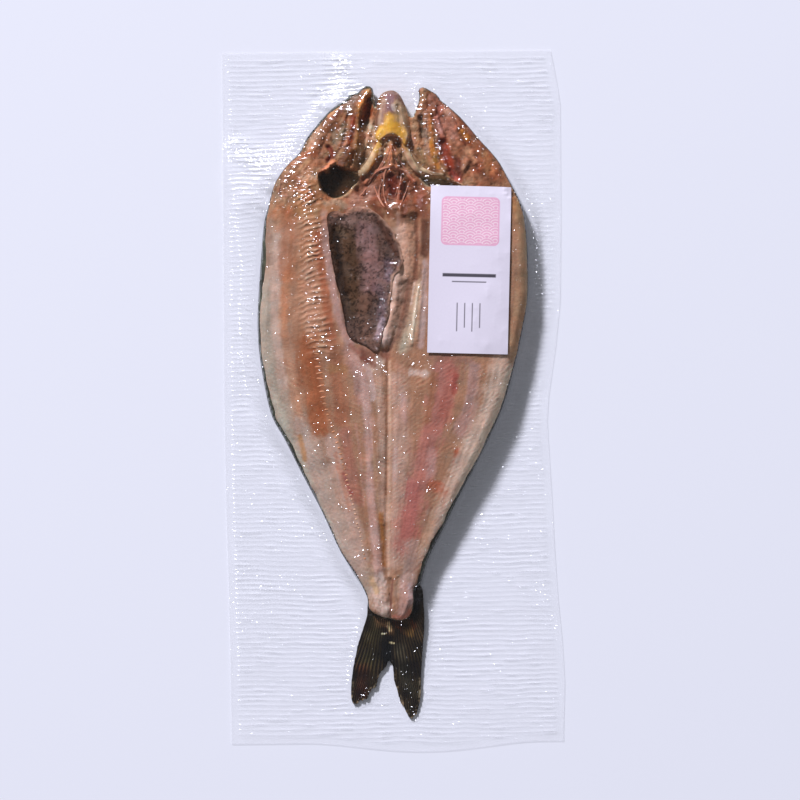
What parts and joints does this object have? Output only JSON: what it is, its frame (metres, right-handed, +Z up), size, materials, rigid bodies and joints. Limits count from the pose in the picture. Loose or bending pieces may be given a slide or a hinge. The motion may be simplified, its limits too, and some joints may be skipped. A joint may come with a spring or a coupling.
{
  "type": "vacuum-packed dried atka mackerel",
  "caption": "Dried atka mackerel opened flat from the back, head and tail on, skin down in a clear sealed vacuum bag with a paper label on its upper face.",
  "frame": {"origin": "middle of the bag's footprint, on the surface it lies on", "axes": "+Y along the fish towards its head, +X to the right with the opened side up, +Z up"},
  "size_m": [0.179, 0.372, 0.0215],
  "materials": {
    "film": "clear, embossed with fine ribs",
    "paper": "satin coated paper",
    "flesh": "moist, semi-gloss",
    "skin": "moist, semi-gloss"
  },
  "bodies": {
    "root": {"bag": "film", "label": "paper"}
  },
  "joints": []
}
